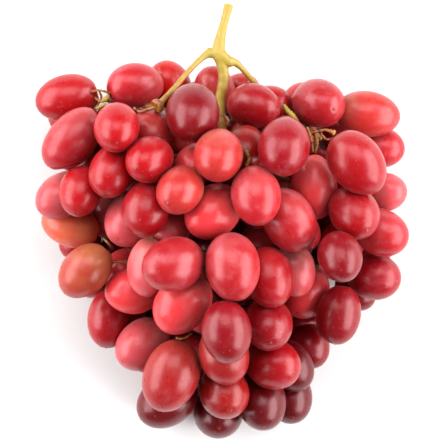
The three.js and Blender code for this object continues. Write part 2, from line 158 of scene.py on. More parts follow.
# Small stalks that show between the berries: colour from fresh 0 to brown 1, then x and y in
# photograph px, height and thickness in mm
SEEN_STALKS = (
    (1.0, ((91, 92, 40, 1.6), (98, 90, 41, 0.9), (104, 91, 41, 1.0), (110, 93, 39, 1.5))),
    (0.6, ((94, 97, 38, 1.1), (100, 101, 39, 1.0), (105, 99, 40, 2.2), (109, 95, 39, 1.4))),
    (0.9, ((99, 91, 41, 0.9), (101, 97, 38, 1.0), (98, 104, 39, 0.9), (95, 109, 42, 1.2))),
    (0.5, ((96, 109, 43, 1.1), (101, 106, 43, 1.3), (106, 103, 42, 0.9))),
    (1.0, ((134, 108, 55, 0.9), (140, 112, 57, 1.1), (148, 110, 59, 1.2), (157, 107, 62, 1.6))),
    (0.1, ((284, 105, 40, 1.5), (287, 110, 41, 2.3), (292, 115, 41, 2.5), (298, 121, 39, 1.2))),
    (0.9, ((307, 127, 42, 1.1), (311, 138, 40, 1.3), (313, 152, 38, 1.1))),
    (0.8, ((311, 133, 40, 1.1), (319, 131, 41, 1.2), (327, 130, 42, 1.4), (335, 133, 43, 2.4))),
    (1.0, ((320, 132, 40, 1.0), (326, 139, 39, 1.1), (333, 138, 40, 1.2), (338, 135, 42, 1.3))),
    (0.7, ((314, 131, 39, 1.6), (317, 141, 37, 1.8), (315, 153, 36, 1.4))),
    (1.0, ((224, 115, 46, 1.1), (228, 120, 47, 1.5), (226, 126, 46, 1.1))),
    (0.7, ((247, 147, 69, 1.0), (247, 153, 70, 1.9), (249, 159, 70, 1.3), (246, 167, 69, 1.6))),
    (0.7, ((183, 137, 55, 0.9), (185, 141, 56, 1.4), (188, 145, 55, 0.9))),
    (1.0, ((104, 239, 44, 0.9), (108, 243, 45, 1.3), (113, 249, 44, 0.9))),
    (1.0, ((176, 338, 58, 1.2), (184, 338, 58, 1.0), (192, 333, 56, 1.0))),
)

# Search for the hidden berries' places: steps and edges in px, levels in mm
HIDDEN_SEED = 7
INNER_SEED = 11
SMALL_SEED = 5
HIDDEN_GRID = 4
HIDDEN_FRAME = {"left": 38, "right": 406, "top": 62, "bottom": 432}
HIDDEN_LEVEL = 2
HIDDEN_TOP = 60
HIDDEN_INSET = 22
HIDDEN_BELT = 34
HIDDEN_BELT_SLOPE = 1.2
HIDDEN_COVER = 6
SHEER_INSET = 14
COVER_MARGIN = 0.5
RIM_POINTS = 12
SURFACE_RINGS = (0, 0.5, 0.9)
HIDDEN_SKINS = ("bright", "crimson", "rose", "crimson", "salmon", "wine", "dusty", "rose")

# Where a hidden berry shows between the seen ones, it lies this deep under the dome or this low, mm
GAP_DEPTH = 30
GAP_FLOOR = 20

# Points of the gap at the upper left where only stalks show, px
OPEN_GAP = ((98, 88), (104, 96), (101, 103))

# Skin colours, linear RGB: the body's, the blush's at the stem end, and the bloom's strength
SKINS = {
    "bright": ((0.31, 0.0015, 0.004), (0.34, 0.008, 0.01), 0.32),
    "crimson": ((0.245, 0.0015, 0.004), (0.28, 0.01, 0.013), 0.42),
    "salmon": ((0.32, 0.016, 0.014), (0.36, 0.07, 0.05), 0.46),
    "rose": ((0.3, 0.008, 0.012), (0.35, 0.04, 0.044), 0.75),
    "light": ((0.52, 0.028, 0.034), (0.57, 0.075, 0.07), 0.65),
    "pale": ((0.43, 0.05, 0.058), (0.46, 0.11, 0.1), 0.78),
    "peach": ((0.26, 0.008, 0.008), (0.29, 0.034, 0.024), 0.50),
    "orange": ((0.36, 0.004, 0.002), (0.40, 0.025, 0.010), 0.20),
    "amber": ((0.58, 0.085, 0.042), (0.62, 0.16, 0.072), 0.34),
    "gold": ((0.26, 0.024, 0.011), (0.3, 0.085, 0.034), 0.34),
    "rust": ((0.23, 0.003, 0.002), (0.26, 0.014, 0.009), 0.28),
    "dusty": ((0.2, 0.0015, 0.005), (0.23, 0.007, 0.011), 0.50),
    "wine": ((0.145, 0.0006, 0.003), (0.175, 0.0025, 0.006), 0.22),
    # A darker red that paints the shade on the berries along the bunch's lower edge
    "plum_painted_shade": ((0.085, 0.0004, 0.002), (0.11, 0.001, 0.0035), 0.08),
}


def across(px):
    return (px - PHOTO_CENTRE[0]) * MM


def up(py):
    return (PHOTO_CENTRE[1] - py) * MM


def inside_by(px, py):
    """Distance in from the outline, px; it is negative outside."""
    nearest = math.inf
    inside = False
    for i, (ax, ay) in enumerate(OUTLINE):
        bx, by = OUTLINE[(i + 1) % len(OUTLINE)]
        dx, dy = bx - ax, by - ay
        along = ((px - ax) * dx + (py - ay) * dy) / (dx * dx + dy * dy)
        t = max(0, min(1, along))
        nearest = min(nearest, math.hypot(px - ax - t * dx, py - ay - t * dy))
        if (ay > py) != (by > py) and px < ax + ((py - ay) * dx) / dy:
            inside = not inside
    return nearest if inside else -nearest


def dome_height(px, py):
    """Height at which a front berry's centre would lie, with nothing in its way."""
    t = max(0, min(1, (inside_by(px, py) - EDGE_INSET) / DOME_REACH))
    return EDGE_HEIGHT + DOME_RISE * math.sqrt(1 - (1 - t) ** 2)


class Berry:
    """An ellipsoid: centre, half length, half width, the axis to its tip, and its skin."""

    def __init__(self, px, py, z, half_length, half_width, tip, skin):
        self.x, self.y, self.z = across(px), up(py), z
        self.half_length, self.half_width = half_length, half_width
        self.tip = tip
        self.skin = skin

    def reach(self, nx, ny, nz):
        k = (nx * self.tip[0] + ny * self.tip[1] + nz * self.tip[2]) ** 2
        return 1 / math.sqrt(k / self.half_length**2 + (1 - k) / self.half_width**2)

    def front(self, x, y):
        """Height of its front surface over a point, or no height where it isn't under the point."""
        ax, ay, az = self.tip
        dx, dy = x - self.x, y - self.y
        round_term = 1 / self.half_width**2
        long_term = 1 / self.half_length**2 - round_term
        across_tip = dx * ax + dy * ay
        a = round_term + long_term * az * az
        b = 2 * long_term * across_tip * az
        c = round_term * (dx * dx + dy * dy) + long_term * across_tip * across_tip - 1
        inside = b * b - 4 * a * c
        return self.z + (-b + math.sqrt(inside)) / (2 * a) if inside >= 0 else -math.inf

    def half_height(self):
        rise = self.tip[2] ** 2
        return math.sqrt(self.half_length**2 * rise + self.half_width**2 * (1 - rise))

    def centre(self):
        return np.array((self.x, self.y, self.z))

    def front_outline(self):
        """Half length and direction of its outline seen from the front."""
        flat = math.hypot(self.tip[0], self.tip[1])
        direction = (self.tip[0] / flat, self.tip[1] / flat) if flat > 1e-6 else (1, 0)
        half = math.sqrt((self.half_length * flat) ** 2 + (self.half_width * self.tip[2]) ** 2)
        return half, direction


def apart(p, q, press):
    dx, dy, dz = q.x - p.x, q.y - p.y, q.z - p.z
    distance = math.sqrt(dx * dx + dy * dy + dz * dz)
    if distance >= (p.half_length + q.half_length) * press:
        return True
    if distance == 0:
        return False
    n = dx / distance, dy / distance, dz / distance
    return distance >= (p.reach(*n) + q.reach(*n)) * press


def marks_along(runs):
    """Points along stem runs, mm, each with the stem's radius there."""
    marks = []
    for run in runs:
        for start, end in zip(run, run[1:]):
            for t in MARK_SHARES:
                px, py, z, thick = (a + (b - a) * t for a, b in zip(start, end))
                marks.append((across(px), up(py), z, thick / 2))
    return marks


def clear_of(marks, b):
    for x, y, z, radius in marks:
        dx, dy, dz = x - b.x, y - b.y, z - b.z
        distance = math.sqrt(dx * dx + dy * dy + dz * dz)
        if distance > b.half_length + radius + STEM_CLEARANCE:
            continue
        needed = b.reach(dx / distance, dy / distance, dz / distance) + radius
        if distance < needed + STEM_CLEARANCE:
            return False
    return True


def place_seen(rows, drop, marks, placed):
    """Each seen berry starts at the dome and sinks until it is clear of those before it."""
    for px, py, length, width, tip_angle, skin in rows:
        seen_length, true_width = length * MM, width * MM
        true_length = max(seen_length, true_width * BERRY_RATIO)
        flat = math.sqrt(
            (seen_length**2 - true_width**2) / (true_length**2 - true_width**2)
        )
        angle = tip_angle * math.pi / 180
        lean = math.sqrt(max(0, 1 - flat * flat))
        tip = (math.cos(angle) * flat, math.sin(angle) * flat, lean)
        height = dome_height(px, py) - drop
        b = Berry(px, py, height, true_length / 2, true_width / 2, tip, skin)
        lowest = b.half_height() - TABLE_PRESS
        while b.z > lowest and not (
            clear_of(marks, b) and all(apart(p, b, SEEN_PRESS) for p in placed)
        ):
            b.z -= SINK_STEP
        placed.append(b)


def covered(x, y, seen):
    if inside_by(x / MM + PHOTO_CENTRE[0], PHOTO_CENTRE[1] - y / MM) > SHEER_INSET:
        return True
    for b in seen:
        half, (ux, uy) = b.front_outline()
        along = ((x - b.x) * ux + (y - b.y) * uy) / (half - COVER_MARGIN)
        beside = ((y - b.y) * ux - (x - b.x) * uy) / (b.half_width - COVER_MARGIN)
        if along * along + beside * beside < 1:
            return True
    return False


def hidden_from_front(b, seen):
    half, (ux, uy) = b.front_outline()
    for i in range(RIM_POINTS):
        turn = 2 * math.pi * i / RIM_POINTS
        along, beside = math.cos(turn) * half, math.sin(turn) * b.half_width
        if not covered(b.x + along * ux - beside * uy, b.y + along * uy + beside * ux, seen):
            return False
    return True


def sunken(b, seen):
    """Whether it lies behind the seen berries, and deep wherever it shows between them."""
    if any(b.front(across(px), up(py)) > 0 for px, py in OPEN_GAP):
        return False
    half, (ux, uy) = b.front_outline()
    for share in SURFACE_RINGS:
        for i in range(RIM_POINTS):
            turn = 2 * math.pi * i / RIM_POINTS
            along, beside = math.cos(turn) * half * share, math.sin(turn) * b.half_width * share
            x, y = b.x + along * ux - beside * uy, b.y + along * uy + beside * ux
            limit = max(p.front(x, y) for p in seen)
            if limit < 0:
                dome = dome_height(x / MM + PHOTO_CENTRE[0], PHOTO_CENTRE[1] - y / MM)
                limit = max(dome - GAP_DEPTH, GAP_FLOOR)
            if b.front(x, y) > limit:
                return False
    return True


class Draws:
    """A seeded run of numbers from 0 to 1, by a linear congruence."""

    FACTOR = 1664525
    ADDED = 1013904223
    RANGE = 4294967296

    def __init__(self, seed):
        self.seed = seed

    def draw(self):
        self.seed = (self.seed * self.FACTOR + self.ADDED) % self.RANGE
        return self.seed / self.RANGE


def place_hidden(placed, marks, seed, press, whole, least_width=HIDDEN_WIDTH):
    """From the table up, each berry takes the first free place, in the belt or the whole bunch."""
    seen = list(placed)
    draws = Draws(seed)

    def draw_berry():
        width = least_width + HIDDEN_WIDTH_SPREAD * draws.draw()
        length = width * (HIDDEN_RATIO + HIDDEN_RATIO_SPREAD * draws.draw())
        angle = 2 * math.pi * draws.draw()
        rise = draws.draw() - 0.5
        flat = math.sqrt(1 - rise * rise)
        return length / 2, width / 2, (math.cos(angle) * flat, math.sin(angle) * flat, rise)

    upcoming = draw_berry()
    rows = range(HIDDEN_FRAME["bottom"], HIDDEN_FRAME["top"] - 1, -HIDDEN_GRID)
    columns = range(HIDDEN_FRAME["left"], HIDDEN_FRAME["right"] + 1, HIDDEN_GRID)
    grid = [(px, py, inside_by(px, py), dome_height(px, py)) for py in rows for px in columns]
    for level in range(0, HIDDEN_TOP + 1, HIDDEN_LEVEL):
        belt = HIDDEN_BELT + level * HIDDEN_BELT_SLOPE
        for px, py, inset, dome in grid:
            in_belt = whole or level < HIDDEN_LEVEL or inset < belt
            if inset < HIDDEN_INSET or not in_belt:
                continue
            skin = HIDDEN_SKINS[len(placed) % len(HIDDEN_SKINS)]
            b = Berry(px, py, 0, *upcoming, skin)
            b.z = level + b.half_height() - TABLE_PRESS
            if b.z > dome - HIDDEN_COVER or not all(apart(p, b, press) for p in placed):
                continue
            if clear_of(marks, b) and hidden_from_front(b, seen) and sunken(b, seen):
                placed.append(b)
                upcoming = draw_berry()


open_marks = marks_along(OPEN_STEM)
berries = []
place_seen(SEEN_BERRIES, 0, open_marks, berries)
place_seen(DEEP_BERRIES, DEEP_DROP, open_marks, berries)
seen_count = len(berries)
place_hidden(berries, open_marks, HIDDEN_SEED, HIDDEN_PRESS, False)
outer_count = len(berries)
all_marks = marks_along(OPEN_STEM + INNER_STEM)
place_hidden(berries, all_marks, INNER_SEED, INNER_PRESS, True)
place_hidden(berries, all_marks, SMALL_SEED, SMALL_PRESS, True, SMALL_WIDTH)

# Fine shape of a berry, mm
BERRY_SIDES = 40
POLE_RINGS = (0.03, 0.06, 0.09, 0.13, 0.19, 0.27, 0.37)
BELT_RINGS = 18
BELT_START = 0.5
LUMPS = 4
LUMP_HEIGHT = 0.16
LUMP_WAVES = (2, 3.6)
EGG = 0.04
BEND = 0.35
SCAR_HEIGHT = 0.14
SCAR_WIDTH = 0.4
SCAR_RING_DEPTH = 0.10
SCAR_RING_RADIUS = 1.0
SCAR_RING_WIDTH = 0.3
DIMPLE_DEPTH = 0.7
DIMPLE_WIDTH = 1.7
CONTACT_GAP = 0.03
CONTACT_SOFTNESS = 0.22
CONTACT_REACH = 1.02
NEIGHBOUR_REACH = 14

# How much berries of one skin differ: shade, bloom, and the distance apart of their noise, mm
SHADE_SPREAD = 0.12
BLOOM_SPREAD = 0.2
NOISE_APART = 500


def berry_grid():
    """Ring angles from the tip to the stem end, and the faces that every berry shares."""
    belt = np.linspace(BELT_START, math.pi - BELT_START, BELT_RINGS)
    far_pole = [math.pi - a for a in reversed(POLE_RINGS)]
    rings = np.concatenate((POLE_RINGS, belt, far_pole))
    faces = []
    for ring in range(len(rings) - 1):
        for side in range(BERRY_SIDES):
            following = (side + 1) % BERRY_SIDES
            low, high = ring * BERRY_SIDES, (ring + 1) * BERRY_SIDES
            faces.append((low + side, high + side, high + following, low + following))
    tip_point, stem_point = len(rings) * BERRY_SIDES, len(rings) * BERRY_SIDES + 1
    last = (len(rings) - 1) * BERRY_SIDES
    for side in range(BERRY_SIDES):
        following = (side + 1) % BERRY_SIDES
        faces.append((tip_point, side, following))
        faces.append((stem_point, last + following, last + side))
    return rings, faces


BERRY_RING_ANGLES, BERRY_FACES = berry_grid()


def berry_axes(b):
    """Three unit axes, the last along the berry to its tip."""
    tip = np.array(b.tip)
    side = np.cross(tip, (0, 0, 1) if abs(tip[2]) < 0.9 else (1, 0, 0))
    side /= np.linalg.norm(side)
    return np.array((side, np.cross(tip, side), tip))


def berry_points(b, rng):
    """The berry's points in mm, with their place in its own axes."""
    angles = np.append(np.repeat(BERRY_RING_ANGLES, BERRY_SIDES), (0, math.pi))
    turn = 2 * math.pi * np.arange(BERRY_SIDES) / BERRY_SIDES
    turns = np.append(np.tile(turn, len(BERRY_RING_ANGLES)), (0, 0))
    round_part, long_part = np.sin(angles), np.cos(angles)
    unit = np.stack((round_part * np.cos(turns), round_part * np.sin(turns), long_part), 1)
    local = unit * (b.half_width, b.half_width, b.half_length)
    normal = unit / (b.half_width, b.half_width, b.half_length)
    normal /= np.linalg.norm(normal, axis=1, keepdims=True)
    local[:, :2] *= (1 + rng.uniform(-EGG, EGG) * long_part)[:, None]
    lift = np.zeros(len(local))
    for _ in range(LUMPS):
        direction = rng.normal(size=3)
        direction /= np.linalg.norm(direction)
        waves = rng.uniform(*LUMP_WAVES) * unit @ direction
        lift += LUMP_HEIGHT / 2 * np.sin(waves + rng.uniform(0, 6.3))
    from_tip = angles * b.half_width
    from_stem = (math.pi - angles) * b.half_width
    lift += SCAR_HEIGHT * np.exp(-((from_tip / SCAR_WIDTH) ** 2))
    lift -= SCAR_RING_DEPTH * np.exp(-(((from_tip - SCAR_RING_RADIUS) / SCAR_RING_WIDTH) ** 2))
    lift -= DIMPLE_DEPTH * np.exp(-((from_stem / DIMPLE_WIDTH) ** 2))
    shaped = local + normal * lift[:, None]
    lean = rng.uniform(0, 2 * math.pi)
    sway = rng.uniform(0, BEND) * (round_part**2 - 0.5)
    shaped[:, 0] += sway * math.cos(lean)
    shaped[:, 1] += sway * math.sin(lean)
    return shaped @ berry_axes(b) + b.centre(), local, from_tip, from_stem


def soft_excess(height):
    """How far a point has to go back to stay under a face, easing in near it."""
    return CONTACT_SOFTNESS * np.logaddexp(0, height / CONTACT_SOFTNESS)


def pressed(points, b, others):
    """Points flattened where the berry meets its neighbours, and the table."""
    for other in others:
        between = other.centre() - b.centre()
        distance = np.linalg.norm(between)
        n = between / distance
        own, theirs = b.reach(*n), other.reach(*(-n))
        if distance > (own + theirs) * CONTACT_REACH:
            continue
        face = own - (own + theirs - distance) / 2
        height = (points - b.centre()) @ n - face + CONTACT_GAP
        points = points - soft_excess(height)[:, None] * n
    points[:, 2] += soft_excess(-points[:, 2])
    return points


def near_berries(b):
    far = b.half_length + NEIGHBOUR_REACH
    return [o for o in berries if o is not b and np.linalg.norm(o.centre() - b.centre()) < far]


def add_attribute(mesh, name, kind, values):
    attribute = mesh.attributes.new(name, kind, "POINT")
    field = {"FLOAT": "value", "FLOAT_VECTOR": "vector", "FLOAT_COLOR": "color"}[kind]
    attribute.data.foreach_set(field, np.asarray(values, np.float32).ravel())


def piece_from(name, points, faces, material, nodes):
    """A smooth mesh piece from points in mm, riding on the bunch."""
    mesh = bpy.data.meshes.new(name)
    mesh.from_pydata([tuple(p) for p in np.asarray(points) * METRES], [], faces)
    mesh.polygons.foreach_set("use_smooth", [True] * len(mesh.polygons))
    mesh.materials.append(material)
    mesh.update()
    piece = bpy.data.objects.new(name, mesh)
    bpy.context.scene.collection.objects.link(piece)
    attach(piece, "root")
    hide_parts(*nodes)
    return piece


def berry_piece(name, members, material, rng):
    """One piece of separate berries, each with its own colours and place in the noise."""
    points, faces = [], []
    values = {key: [] for key in ("skin", "blush", "bloom", "local", "pole", "along")}
    for b in members:
        placed, local, from_tip, from_stem = berry_points(b, rng)
        start = len(points) * len(placed)
        faces += [tuple(i + start for i in face) for face in BERRY_FACES]
        points.append(pressed(placed, b, near_berries(b)))
        body, blush, bloom = SKINS[b.skin]
        shade = rng.uniform(1 - SHADE_SPREAD, 1 + SHADE_SPREAD)
        count = len(placed)
        values["skin"].append(np.tile((*[c * shade for c in body], 1), (count, 1)))
        values["blush"].append(np.tile((*[c * shade for c in blush], 1), (count, 1)))
        values["bloom"].append(np.full(count, bloom * rng.uniform(1 - BLOOM_SPREAD, 1 + BLOOM_SPREAD)))
        values["local"].append(local + rng.uniform(-NOISE_APART, NOISE_APART, 3))
        values["pole"].append(from_tip)
        values["along"].append(local[:, 2] / b.half_length)
    piece = piece_from(name, np.concatenate(points), faces, material, ["berries"])
    kinds = {"skin": "FLOAT_COLOR", "blush": "FLOAT_COLOR", "local": "FLOAT_VECTOR"}
    for key, parts in values.items():
        add_attribute(piece.data, key, kinds.get(key, "FLOAT"), np.concatenate(parts))
    return piece


# Stem's fine shape, mm
STEM_SIDES = 20
STEM_STEP = 0.8
STEM_VOXEL = 0.32
STEM_SMOOTHING = 0.6
STEM_SMOOTH_ROUNDS = 10
TWIG_SIDES = 9
TWIG_THICK = 1.25
TWIG_POINTS = 12
TWIG_STEP = 0.5
TWIG_CLEARANCE = 0.25
TWIG_EASE = 0.25
TWIG_ROUNDS = 14
TWIG_KNEE = 5
TWIG_TONES = (0.2, 0.9)
COLLAR_THICK = 2.6
COLLAR_SHARE = 0.06
KNUCKLE_THICK = 0.5
KNUCKLE_SHARE = 0.12
FORK = (218.5, 53)
AGED_AFTER = 46
KNOB = ((160.5, 103.5, 62, 5.0), (157.5, 106, 62.6, 6.4), (155.5, 107.6, 63, 6.2))


def smooth_run(points, thick, step):
    """A Catmull-Rom curve through points, with the thickness eased between them."""
    points = np.asarray(points, float)
    padded = np.vstack((2 * points[0] - points[1], points, 2 * points[-1] - points[-2]))
    curve, width = [], []
    for i in range(len(points) - 1):
        a, b, c, d = padded[i : i + 4]
        count = max(2, int(np.linalg.norm(c - b) / step))
        for t in np.arange(count) / count:
            curve.append(0.5 * (2 * b + (c - a) * t + (2 * a - 5 * b + 4 * c - d) * t**2
                                + (3 * b - a - 3 * c + d) * t**3))
            ease = t * t * (3 - 2 * t)
            width.append(thick[i] + (thick[i + 1] - thick[i]) * ease)
    curve.append(points[-1])
    width.append(thick[-1])
    return np.array(curve), np.array(width)


def tube(curve, radii, sides):
    """A closed tube round a curve: its points and faces."""
    tangent = np.gradient(curve, axis=0)
    tangent /= np.linalg.norm(tangent, axis=1, keepdims=True)
    side = np.cross(tangent[0], (0.31, 0.23, 0.92))
    points = []
    for centre, along, radius in zip(curve, tangent, radii):
        side = side - (side @ along) * along
        side /= np.linalg.norm(side)
        other = np.cross(along, side)
        for k in range(sides):
            turn = 2 * math.pi * k / sides
            points.append(centre + radius * (math.cos(turn) * side + math.sin(turn) * other))
    faces = []
    for ring in range(len(curve) - 1):
        for k in range(sides):
            low, high = ring * sides, (ring + 1) * sides
            following = (k + 1) % sides
            faces.append((low + k, low + following, high + following, high + k))
    points += [curve[0], curve[-1]]
    last = (len(curve) - 1) * sides
    for k in range(sides):
        following = (k + 1) % sides
        faces.append((len(points) - 2, following, k))
        faces.append((len(points) - 1, last + k, last + following))
    return points, faces


def joined(parts):
    points, faces = [], []
    for part_points, part_faces in parts:
        faces += [tuple(i + len(points) for i in face) for face in part_faces]
        points += list(part_points)
    return points, faces


def run_in_mm(run):
    places = [(across(px), up(py), z) for px, py, z, _ in run]
    return places, [thick for *_, thick in run]


def stem_curves():
    return [smooth_run(*run_in_mm(run), STEM_STEP) for run in OPEN_STEM + INNER_STEM + (KNOB,)]


def stem_piece(curves, material):
    """The stem grown as one: its limbs are merged by voxels, then smoothed at the forks."""
    parts = []
    for curve, width in curves:
        s = np.linspace(0, 1, len(curve))
        ripple = 1 + 0.03 * np.sin(40 * s + curve[0, 0]) + 0.02 * np.sin(91 * s)
        parts.append(tube(curve, width / 2 * ripple, STEM_SIDES))
    points, faces = joined(parts)
    piece = piece_from("stem_fine", points, faces, material, ["stem"])
    remesh = piece.modifiers.new("fuse", "REMESH")
    remesh.mode = "VOXEL"
    remesh.voxel_size = STEM_VOXEL * METRES
    smooth = piece.modifiers.new("smooth", "SMOOTH")
    smooth.factor = STEM_SMOOTHING
    smooth.iterations = STEM_SMOOTH_ROUNDS
    graph = bpy.context.evaluated_depsgraph_get()
    fused = bpy.data.meshes.new_from_object(piece.evaluated_get(graph))
    piece.modifiers.clear()
    piece.data = fused
    fused.polygons.foreach_set("use_smooth", [True] * len(fused.polygons))
    age, edge = stem_tones(fused, curves)
    add_attribute(fused, "age", "FLOAT", age)
    add_attribute(fused, "edge", "FLOAT", edge)
    return piece


def stem_tones(mesh, curves):
    """Per point: how far down from the fork it is, and how near its limb's left or right edge."""
    flat = np.empty(3 * len(mesh.vertices), np.float32)
    mesh.vertices.foreach_get("co", flat)
    places = flat.reshape(-1, 3) / METRES
    spine = np.vstack([curve for curve, _ in curves])
    radius = np.concatenate([width for _, width in curves]) / 2
    along = np.concatenate([np.gradient(curve, axis=0) for curve, _ in curves])
    beside = np.stack((-along[:, 1], along[:, 0]), 1)
    beside /= np.linalg.norm(beside, axis=1, keepdims=True) + 1e-9
    edge = np.empty(len(places))
    for start in range(0, len(places), 2000):
        part = places[start : start + 2000]
        gap = np.linalg.norm(part[:, None] - spine, axis=2) - radius
        nearest = np.argmin(gap, axis=1)
        off = (part[:, :2] - spine[nearest, :2]) * beside[nearest]
        edge[start : start + 2000] = np.abs(off.sum(1)) / radius[nearest]
    fork = np.array((across(FORK[0]), up(FORK[1])))
    away = np.linalg.norm(places[:, :2] - fork, axis=1)
    age = np.where(places[:, 1] < fork[1] - 2, away / AGED_AFTER, 0)
    return np.clip(age, 0, 1), np.clip(edge, 0, 1)


def pushed_clear(path, radius, own):
    """Moves a twig's inner points out of the berries that it would cross."""
    near = [o for o in berries if o is not own
            and np.min(np.linalg.norm(path - o.centre(), axis=1)) < o.half_length + 3]
    for _ in range(TWIG_ROUNDS):
        path[1:-1] += TWIG_EASE * (path[:-2] + path[2:] - 2 * path[1:-1])
        for other in near:
            for i in range(1, len(path) - 1):
                out = path[i] - other.centre()
                distance = np.linalg.norm(out)
                needed = other.reach(*(out / distance)) + radius + TWIG_CLEARANCE
                if distance < needed:
                    path[i] += out / distance * (needed - distance)
    return path


def shows(path):
    """Whether part of a stalk would be seen from the front."""
    return any(all(b.front(x, y) < z for b in berries) for x, y, z in path)


def twig_paths(anchors):
    """A small stalk to each berry where it won't show, from the nearest limb or an earlier stalk."""
    waiting = []
    for b in berries:
        away = -np.array(b.tip)
        end = b.centre() + away * (b.half_length - DIMPLE_DEPTH)
        waiting.append((b, end, away))
    paths = []
    while waiting:
        spots = np.array(anchors)
        best = min(waiting, key=lambda e: np.min(
            np.linalg.norm(spots - e[1] - TWIG_KNEE * e[2], axis=1)))
        waiting = [e for e in waiting if e is not best]
        b, end, away = best
        knee = end + TWIG_KNEE * away
        target = spots[np.argmin(np.linalg.norm(spots - knee, axis=1))]
        t = np.linspace(0, 1, TWIG_POINTS)[:, None]
        path = (1 - t) ** 2 * end + 2 * t * (1 - t) * knee + t**2 * target
        path = pushed_clear(path, TWIG_THICK / 2, b)
        path[:, 2] = np.maximum(path[:, 2], COLLAR_THICK / 2)
        if not shows(path):
            paths.append(path)
            anchors += list(path[4:-1:2])
    return paths


def twig_piece(curves, material, rng):
    """All the small stalks: the seen ones as listed, the rest by rule."""
    parts, tones = [], []
    anchors = [point for curve, _ in curves[1:] for point in curve[::3]]
    for tone, run in SEEN_STALKS:
        curve, width = smooth_run(*run_in_mm(run), TWIG_STEP)
        knots = 1 + 0.2 * np.sin(np.arange(len(curve)) * 2.3 + curve[0, 0])
        parts.append(tube(curve, width / 2 * knots, TWIG_SIDES))
        tones.append(tone)
        anchors += list(curve[::3])
    for path in twig_paths(anchors):
        s = np.linspace(0, 1, len(path))
        collar = (COLLAR_THICK - TWIG_THICK) * np.exp(-((s / COLLAR_SHARE) ** 2))
        knuckle = KNUCKLE_THICK * np.exp(-(((1 - s) / KNUCKLE_SHARE) ** 2))
        parts.append(tube(path, (TWIG_THICK + collar + knuckle) / 2, TWIG_SIDES))
        tones.append(rng.uniform(*TWIG_TONES))
    points, faces = joined(parts)
    piece = piece_from("stalks", points, faces, material, ["stem"])
    values = [np.full(len(part_points), tone) for (part_points, _), tone in zip(parts, tones)]
    add_attribute(piece.data, "age", "FLOAT", np.concatenate(values))
    add_attribute(piece.data, "edge", "FLOAT", np.zeros(len(points)))
    return piece


class Nodes:
    """Short names for making a material's nodes."""

    def __init__(self, name):
        self.material = bpy.data.materials.new(name)
        self.material.use_nodes = True
        self.tree = self.material.node_tree
        self.shader = self.tree.nodes["Principled BSDF"]

    def link(self, value, socket):
        if isinstance(value, bpy.types.NodeSocket):
            self.tree.links.new(value, socket)
        else:
            socket.default_value = value

    def attribute(self, name, output="Fac"):
        node = self.tree.nodes.new("ShaderNodeAttribute")
        node.attribute_name = name
        return node.outputs[output]

    def math(self, operation, a, b=0.0):
        node = self.tree.nodes.new("ShaderNodeMath")
        node.operation = operation
        self.link(a, node.inputs[0])
        self.link(b, node.inputs[1])
        return node.outputs[0]

    def ramp(self, value, low, high, start=0.0, end=1.0):
        """value eased from start at low to end at high."""
        node = self.tree.nodes.new("ShaderNodeMapRange")
        node.interpolation_type = "SMOOTHSTEP"
        for socket, number in zip(node.inputs, (value, low, high, start, end)):
            self.link(number, socket)
        return node.outputs[0]

    def noise(self, vector, scale, detail=3.0, roughness=0.55):
        node = self.tree.nodes.new("ShaderNodeTexNoise")
        self.link(vector, node.inputs["Vector"])
        node.inputs["Scale"].default_value = scale
        node.inputs["Detail"].default_value = detail
        node.inputs["Roughness"].default_value = roughness
        return node.outputs[0]

    def stretched(self, vector, scale):
        node = self.tree.nodes.new("ShaderNodeVectorMath")
        node.operation = "MULTIPLY"
        self.link(vector, node.inputs[0])
        self.link(scale, node.inputs[1])
        return node.outputs[0]

    def dots(self, vector, scale):
        """Distance to the nearest of scattered points."""
        node = self.tree.nodes.new("ShaderNodeTexVoronoi")
        self.link(vector, node.inputs["Vector"])
        node.inputs["Scale"].default_value = scale
        return node.outputs["Distance"]

    def mix(self, factor, a, b):
        node = self.tree.nodes.new("ShaderNodeMix")
        node.data_type = "RGBA"
        self.link(factor, node.inputs["Factor"])
        self.link(a, node.inputs[6])
        self.link(b, node.inputs[7])
        return node.outputs[2]

    def bump(self, height, strength, distance):
        node = self.tree.nodes.new("ShaderNodeBump")
        node.inputs["Strength"].default_value = strength
        node.inputs["Distance"].default_value = distance
        self.link(height, node.inputs["Height"])
        self.link(node.outputs[0], self.shader.inputs["Normal"])

    def settle(self, settings):
        """Sets the shader's values that are the same all over."""
        for name, value in settings.items():
            self.shader.inputs[name].default_value = value


# Colours of a skin's markings, linear RGB
SPECK_COLOUR = (0.50, 0.26, 0.18, 1)
BLOOM_COLOUR = (0.44, 0.14, 0.17, 1)
SCAR_RING_COLOUR = (0.10, 0.012, 0.008, 1)
SCAR_COLOUR = (0.20, 0.06, 0.03, 1)

# Noise in a skin, in cells per mm
MOTTLE_SCALE = 0.09
CLOUD_SCALE = 0.16
SPECK_SCALE = 0.45
STREAK_SCALE = 0.5
FINE_SCALE = 0.55
BUMP_SCALE = 1.6

# Where the tip's scar and the ring round it begin and end, mm from the tip
SCAR_EDGE = (0.45, 0.2)
RING_INNER_EDGE = (0.35, 0.75)
RING_OUTER_EDGE = (1.4, 0.9)

SPECK_SIZE = (0.06, 0.16)
SPECK_STRENGTH = 0.25
RING_STRENGTH = 0.4
HAZE_CLOUDS = (0.72, 1.05)
HAZE_STRENGTH = 0.34
SKIN_ROUGHNESS = (0.27, 0.44)

# What a skin has all over: flesh under it, a soft gloss and a thin waxy sheen
SKIN_GLOSS = {
    "Subsurface Weight": 0.30,
    "Subsurface Radius": (1.0, 0.16, 0.12),
    "Subsurface Scale": 0.0035,
    "IOR": 1.42,
    "Specular IOR Level": 0.56,
    "Specular Tint": (1.0, 0.70, 0.74, 1),
    "Sheen Weight": 0.05,
    "Sheen Roughness": 0.30,
    "Sheen Tint": (1.0, 0.62, 0.65, 1),
    "Coat Weight": 0.05,
    "Coat Roughness": 0.20,
}


